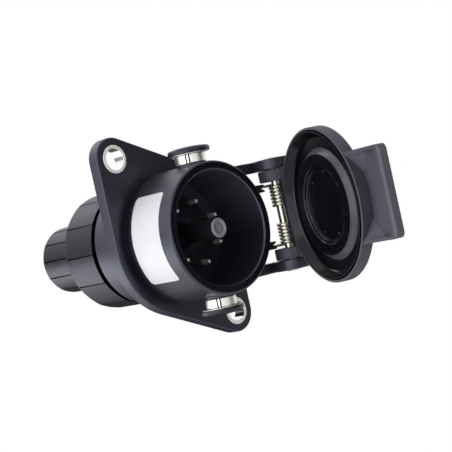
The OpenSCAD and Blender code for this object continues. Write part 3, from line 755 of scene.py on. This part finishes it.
tab_end, tab_half, tab_corner, tab_root = -45.1, 17.1, 2.5, -20
lip_top, lip_w, floor_top, rib_t, rib_top, spare = 3.0, 3.4, 4.7, 1.3, 0.2, 5
tab = prism("tab", [
    (tab_root, -tab_half), (tab_root, tab_half), (tab_end, tab_half, tab_corner),
    (tab_end, -tab_half, tab_corner)], RIGHT, UP, rim, OUT * lid_depth)
wall_u = -math.sqrt(lid_r ** 2 - tab_half ** 2)
slope = prism("slope", [
    (tab_end + 0.02, lid_depth + 1), (tab_end + 0.02, lip_top, 0.9), (tab_end + lip_w, lip_top),
    (wall_u + 0.6, rib_top), (tab_root + spare, rib_top), (tab_root + spare, -spare),
    (tab_end - spare, -spare), (tab_end - spare, lid_depth + 1)
], RIGHT, OUT, rim - UP * lid_r * MM, UP * 2 * lid_r)
tray = prism("tray", [
    (tab_end + lip_w, rib_t - tab_half, 0.8), (tab_end + lip_w, tab_half - rib_t, 0.8),
    (tab_root + spare, tab_half - rib_t), (tab_root + spare, rib_t - tab_half)
], RIGHT, UP, rim - OUT * spare * MM, OUT * (spare + floor_top))
fuse(tab, slope, tray, operation="DIFFERENCE")
soften(tab, 0.5)
web_u, web_v, web_rise, web_end, web_top, web_foot = -35.7, 18.25, 7.4, 13, 0.4, floor_top + 0.6
uphill_u, uphill_v, web_l = 0.817, 0.576, 20
corner_end, corner_low, corner_high = -38, 5, tab_half - 0.6
for side in (1, -1):
    uphill = RIGHT * uphill_u + UP * side * uphill_v
    level = RIGHT * uphill_v - UP * side * uphill_u
    web = prism("web", [
        (0, web_foot), (0, floor_top), (web_rise, web_top), (web_end, web_top), (web_end, web_foot)
    ], uphill, OUT, rim + (RIGHT * web_u + UP * side * web_v) * MM, level * web_l)
    corner = prism("corner", [
        (corner_end, corner_low), (tab_root, corner_low), (tab_root, corner_high), (corner_end, corner_high)
    ], RIGHT, UP * side, rim, OUT * lid_depth)
    fuse(web, corner, operation="INTERSECT")
    fuse(tab, web)
fuse(lid, tab)

knuckle_r, knuckle_in, knuckle_t, knuckle_root = 6.1, 13.5, 4.5, lid_r - 10
web_low, web_high = 0.25 + rim_w, pin_w + 5.5
knuckle_plan = [
    (knuckle_root, web_low), *arc((pin_u, pin_w), knuckle_r, 184.7, 475.6, 44), (knuckle_root, web_high)]
for side in (1, -1):
    knuckle = prism("knuckle", knuckle_plan, RIGHT, OUT, UP * side * knuckle_in * MM, UP * side * knuckle_t)
    soften(knuckle, 0.4)
    fuse(lid, knuckle)
edge_in, edge_out, edge_depth, edge_t = 25, 31.3, 0.35, 2.1
hinge_edge = prism("hinge_edge", [
    (edge_in, -knuckle_in), (edge_out, -knuckle_in), (edge_out, knuckle_in), (edge_in, knuckle_in)
], RIGHT, UP, rim + OUT * edge_depth * MM, OUT * edge_t)
soften(hinge_edge, 0.3)
fuse(lid, hinge_edge)
cavity = turned("cavity", [
    (0, -1), (skirt_r + 0.5, -1), (skirt_r + 0.15, 0), (skirt_r, 0.3), (skirt_r, cavity_l, 0.3),
    (0, cavity_l)], OUT, rim, 160)
pin_bore_r, seat_l, seat_floor, seat_top, seat_half = 1.76, 12.5, 1.92, 8, 4.6
pin_bore = turned("pin_bore", [
    (0, -pin_reach), (pin_bore_r, -pin_reach), (pin_bore_r, pin_reach), (0, pin_reach)], UP, hinge, 32)
seat_turn = math.atan2(lid_depth - lid_wall, lid_r - lid_back_r)
spring_seat = prism("spring_seat", [
    (-seat_l, seat_floor), (0, seat_floor), (0, seat_top), (-seat_l, seat_top)
], RIGHT, OUT, UP * -seat_half * MM, UP * 2 * seat_half)
moved(spring_seat, Matrix.Translation(hinge) @ Matrix.Rotation(seat_turn, 4, "Z"))
fuse(lid, cavity, pin_bore, spring_seat, operation="DIFFERENCE")

opening = math.radians(-joints["lid_hinge"]["range_deg"][0])
swing = Matrix.Translation(hinge) @ Matrix.Rotation(opening, 4, "Z") @ Matrix.Translation(-hinge)


def scuffs_and_light_at_the_pull_edge(place):
    """The tab's outer end, pale partly from scuffs by fingers and partly as painted light on its end wall.
    """
    return place.along("Y").steeper(-104.8 * MM, -105.9 * MM) * (place.noise(420, 5, 0.7) * 0.7 + 0.4)


def painted_shade_beside_the_spring(place):
    """The edge between the knuckles, painted dark as shade beside the spring."""
    height = place.along("Z")
    past, well_in = (knuckle_in + 0.1) * MM, (knuckle_in - 0.2) * MM
    between = height.steeper(-past, -well_in) * height.steeper(past, well_in)
    return between * place.along("Y").steeper(-36.4 * MM, -36 * MM)


lid_plastic = moulded_plastic(
    "lid_plastic", (0.050, 0.050, 0.062), (0.076, 0.076, 0.092), gloss=0.5, grain_mm=0.025,
    # pale end of the tab: partly scuffs, partly painted light
    others=[(scuffs_and_light_at_the_pull_edge, (0.135, 0.135, 0.15), 0.5),
            # painted shade on the edge between the knuckles
            (painted_shade_beside_the_spring, (0.004, 0.004, 0.006), 0.05)])
polish(moved(lid, swing), lid_plastic)
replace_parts(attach(lid, "cover"), "lid")


# Lid seal. One moulded rubber disc in the lid's cavity: a thin conical lip that wipes the mouth and stands
# a little proud, a channel, a raised ring that enters the bore, and a sunk middle with seven small pips.
lip_r, lip_proud, lip_foot, channel = skirt_r - close_gap, 0.35, 2.4, 3.0
ring_r, ring_in_r, ring_top, step_r, step_depth = bore_r - 2, 15.35, 0.95, 14.3, 1.5
middle_r, middle_depth = 13.8, 2.95
lid_seal = turned("lid_seal_moulding", [
    (0, cavity_l), (lip_r, cavity_l), (lip_r, lip_foot, 0.2), (lip_r - 0.45, 0.6),
    (lip_r - 0.6, -lip_proud, 0.1), (lip_r - 0.85, -lip_proud, 0.1), (barrel_r + 0.2, lip_foot + 0.05, 0.3),
    (barrel_r - 0.3, channel, 0.3), (ring_r + 0.4, channel, 0.4), (ring_r - 1.4, ring_top, 0.6),
    (ring_in_r, ring_top, 0.25), (ring_in_r - 0.35, step_depth, 0.1), (step_r, step_depth + 0.1, 0.25),
    (middle_r + 0.1, 2.3, 0.2), (middle_r, middle_depth, 0.2), (0, middle_depth)
], OUT, rim, 160)
pip_r, pip_ring_r, pip_start = 0.6, 12.3, math.radians(-5)
for number in range(contacts):
    turn = pip_start + number * contact_step
    spoke = RIGHT * math.cos(turn) + UP * math.sin(turn)
    spot = rim + spoke * pip_ring_r * MM + OUT * (channel + 0.4) * MM
    pip = turned("pip", [(0, 0), (pip_r, 0), (pip_r, -0.6, 0.45), (0, -1)], OUT, spot, 20)
    fuse(lid_seal, pip)
lid_axis, lid_out = swing @ rim, swing.to_3x3() @ OUT


def painted_highlight_on_the_ring_wall(place):
    """The raised ring's outer slope, painted pale as a highlight."""
    far = place.radius(lid_axis, lid_out)
    slope = far.steeper(19.3 * MM, 20.1 * MM) * far.steeper(21.5 * MM, 21.2 * MM)
    return slope * (place.noise(160, 4) * 0.5 + 0.6)


lid_rubber = soft_rubber("lid_rubber", (0.003, 0.003, 0.004), (0.005, 0.005, 0.007), 0.8,
                         # painted highlight on the seal ring's outer slope
                         others=[(painted_highlight_on_the_ring_wall, (0.11, 0.11, 0.12), 0.75)])
polish(moved(lid_seal, swing), lid_rubber)
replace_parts(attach(lid_seal, "cover"), "lid_seal")


# Lid spring. A double torsion spring of drawn steel wire round the hinge pin: its outer legs lie in the
# housing's forked hooks and its middle loop pulls on the lid's back.
wire_r, coil_r, coil_out, coil_in, hook_leg, lid_leg, bend_r = 0.6, 2.6, 12, 3.4, 8.5, 11, 1.6
hook_turn = math.radians(154.5)
hook_start = hook_turn - math.pi / 2
lid_turn = math.pi + seat_turn + opening
lid_start = lid_turn + math.pi / 2
coil_turns, coil_points, bend_steps = 6, 300, 6
turns_back = 2 * math.pi * (coil_turns + math.ceil((lid_start - hook_start) / (2 * math.pi)))
coil_sweep = hook_start - lid_start + turns_back


def round_pin(turn, far, way, height):
    """A point on the coil's circle, carried on along a leg's direction."""
    return Vector((coil_r * math.cos(turn) + far * math.cos(way),
                   coil_r * math.sin(turn) + far * math.sin(way), height))


half_path = [round_pin(hook_start, far, hook_turn, coil_out) for far in (hook_leg, hook_leg / 2)]
for k in range(coil_points + 1):
    share = k / coil_points
    height = coil_out + (coil_in - coil_out) * share
    half_path.append(round_pin(hook_start - coil_sweep * share, 0, 0, height))
half_path += [round_pin(lid_start, far, lid_turn, coil_in) for far in (4, 7, lid_leg - bend_r)]
for k in range(1, bend_steps + 1):
    bend = math.pi / 2 * k / bend_steps
    far, height = lid_leg - bend_r + bend_r * math.sin(bend), coil_in - bend_r * (1 - math.cos(bend))
    half_path.append(round_pin(lid_start, far, lid_turn, height))
half_path.append(round_pin(lid_start, lid_leg, lid_turn, 0))

wire_steel, shader, place = blank("wire_steel")
drawn = place.stretched((1, 1, 3)).noise(1500, 4, 0.7)
tarnish = place.noise(260, 3)
steel = (drawn * 0.4 + tarnish * 0.6).steeper(0.35, 0.7).between((0.52, 0.49, 0.41), (0.80, 0.77, 0.68))
feed(shader, base_color=steel, roughness=0.2 + drawn * 0.12 + tarnish * 0.08, normal=drawn.bump(0.006, 0.3))
shader.inputs["Metallic"].default_value = 1
for side, height in ((1, "upper"), (-1, "lower")):
    bpy.ops.object.select_all(action="DESELECT")
    bpy.ops.curve.primitive_nurbs_path_add()
    spring = bpy.context.object
    spring.name = f"{height}_spring_half"
    spring.data.splines.clear()
    line = spring.data.splines.new("POLY")
    line.points.add(len(half_path) - 1)
    for point, spot in zip(line.points, half_path):
        point.co = (*(hinge + Vector((spot.x, spot.y, spot.z * side)) * MM), 1)
    spring.data.bevel_depth = wire_r * MM
    spring.data.bevel_resolution = 3
    spring.data.use_fill_caps = True
    bpy.ops.object.convert(target="MESH")
    bpy.ops.object.mode_set(mode="EDIT")
    close_skin()
    polish(spring, wire_steel, sharp=50)
    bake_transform(spring)
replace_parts(spring, "lid_spring")


# Studio. A pale floor below the part fades into a white surround. Three soft boxes light it: a key on the
# left, a small one low down behind and one above. Cards that the camera can't see shape the reflections:
# dark ones on the right, far left and low down keep the black plastic black, and a grey one stands behind.
def seen_directly(tone):
    """1 for what the camera, a reflection or a clear material looks at, and 0 for light that spreads."""
    camera_ray, glossy_ray, clear_ray = (
        tone.node("ShaderNodeLightPath", output=f"Is {kind} Ray")
        for kind in ("Camera", "Glossy", "Transmission"))
    return (camera_ray + glossy_ray + clear_ray).steeper(0, 1)


world = bpy.data.worlds.new("surround")
bpy.context.scene.world = world
world.use_nodes = True
world.node_tree.nodes.clear()
air = Tone(world.node_tree)
ambient = air.node("ShaderNodeBackground", {}, {"Color": (0.92, 0.95, 1, 1), "Strength": 0.3})
white = air.node("ShaderNodeBackground", {}, {"Color": (1, 1, 1, 1), "Strength": 1})
surround = air.node("ShaderNodeMixShader", {}, {0: seen_directly(air), 1: ambient, 2: white})
air.node("ShaderNodeOutputWorld", {}, {"Surface": surround})

floor_z = -0.18
bpy.ops.mesh.primitive_plane_add(size=6, location=(0, 0, floor_z))
floor = bpy.context.object
floor.name = "studio_floor"
floor_paper, shader, place = blank("floor_paper")
tree = floor_paper.node_tree
speckle = place.noise(300, 4)
feed(shader, base_color=speckle.between((0.80, 0.80, 0.81), (0.84, 0.84, 0.85)),
     roughness=0.8 + speckle * 0.1)
distance = place.node("ShaderNodeVectorMath", {"operation": "LENGTH"}, {0: place}, 1)
glow = place.node("ShaderNodeEmission", {}, {"Color": (1, 1, 1, 1), "Strength": 1})
faded = distance.steeper(-0.25, 0.2) * seen_directly(place)
paper = place.node("ShaderNodeMixShader", {}, {0: faded, 1: Tone(tree, shader.outputs[0]), 2: glow})
tree.links.new(paper.socket, tree.nodes["Material Output"].inputs["Surface"])
floor.data.materials.append(floor_paper)


def facing(place, target):
    """The turn that points a lamp or a card from its place at a target."""
    return (Vector(target) - Vector(place)).to_track_quat("-Z", "Y").to_euler()


for name, place, target, width, height, watts in (
        ("key", (-0.34, 0, 0.06), (0, 0, 0.04), 0.68, 0.5, 1.48),
        ("low", (-0.13, 0.27, -0.165), (-0.02, 0.03, 0), 0.26, 0.26, 0.55),
        ("top", (-0.1, 0.5, 0.6), (0, 0, 0), 0.5, 0.4, 0.85)):
    bpy.ops.object.light_add(type="AREA", location=place, rotation=facing(place, target))
    lamp = bpy.context.object
    lamp.name = lamp.data.name = f"{name}_lamp"
    lamp.data.shape = "RECTANGLE"
    lamp.data.size, lamp.data.size_y, lamp.data.energy = width, height, watts

for name, place, target, width, height, tone in (
        ("right", (0.62, -0.66, 0.05), (0, 0, 0), 0.7, 0.9, 0.06),
        ("back", (-0.02, 0.7, 0), (0, 0, 0), 0.36, 0.5, 0.7),
        ("left", (-0.62, 0.8, 0), (0, 0, 0), 0.6, 0.6, 0.05),
        ("low", (0.31, 0.36, -0.15), (0.31, 0.36, 0), 0.58, 0.68, 0.02)):
    cloth, shader, spot = blank(f"{name}_cloth")
    nap = spot.noise(500, 3)
    feed(shader, base_color=nap.between((tone, tone, tone), (tone + 0.05, tone + 0.05, tone + 0.06)),
         roughness=0.9 + nap * 0.1)
    bpy.ops.mesh.primitive_plane_add(size=1, location=place, rotation=facing(place, target))
    card = bpy.context.object
    card.name = f"{name}_card"
    card.scale = (width, height, 1)
    card.visible_camera = False
    card.data.materials.append(cloth)

# the camera stands in front and to the left at the part's own height, and leans a little to the side
camera_place = (-0.392663, -0.456022, 0.000650)
heading, tilt, roll = math.radians(-42.96), math.radians(89.94), math.radians(-12.29)
bpy.ops.object.camera_add()
camera = bpy.context.object
camera.matrix_world = (
    Matrix.Translation(camera_place) @ Matrix.Rotation(heading, 4, "Z") @ Matrix.Rotation(tilt, 4, "X")
    @ Matrix.Rotation(roll, 4, "Z"))
camera.data.lens = 120.7126
camera.data.sensor_width = 36
bpy.context.scene.camera = camera
bpy.context.scene.view_settings.view_transform = "Standard"
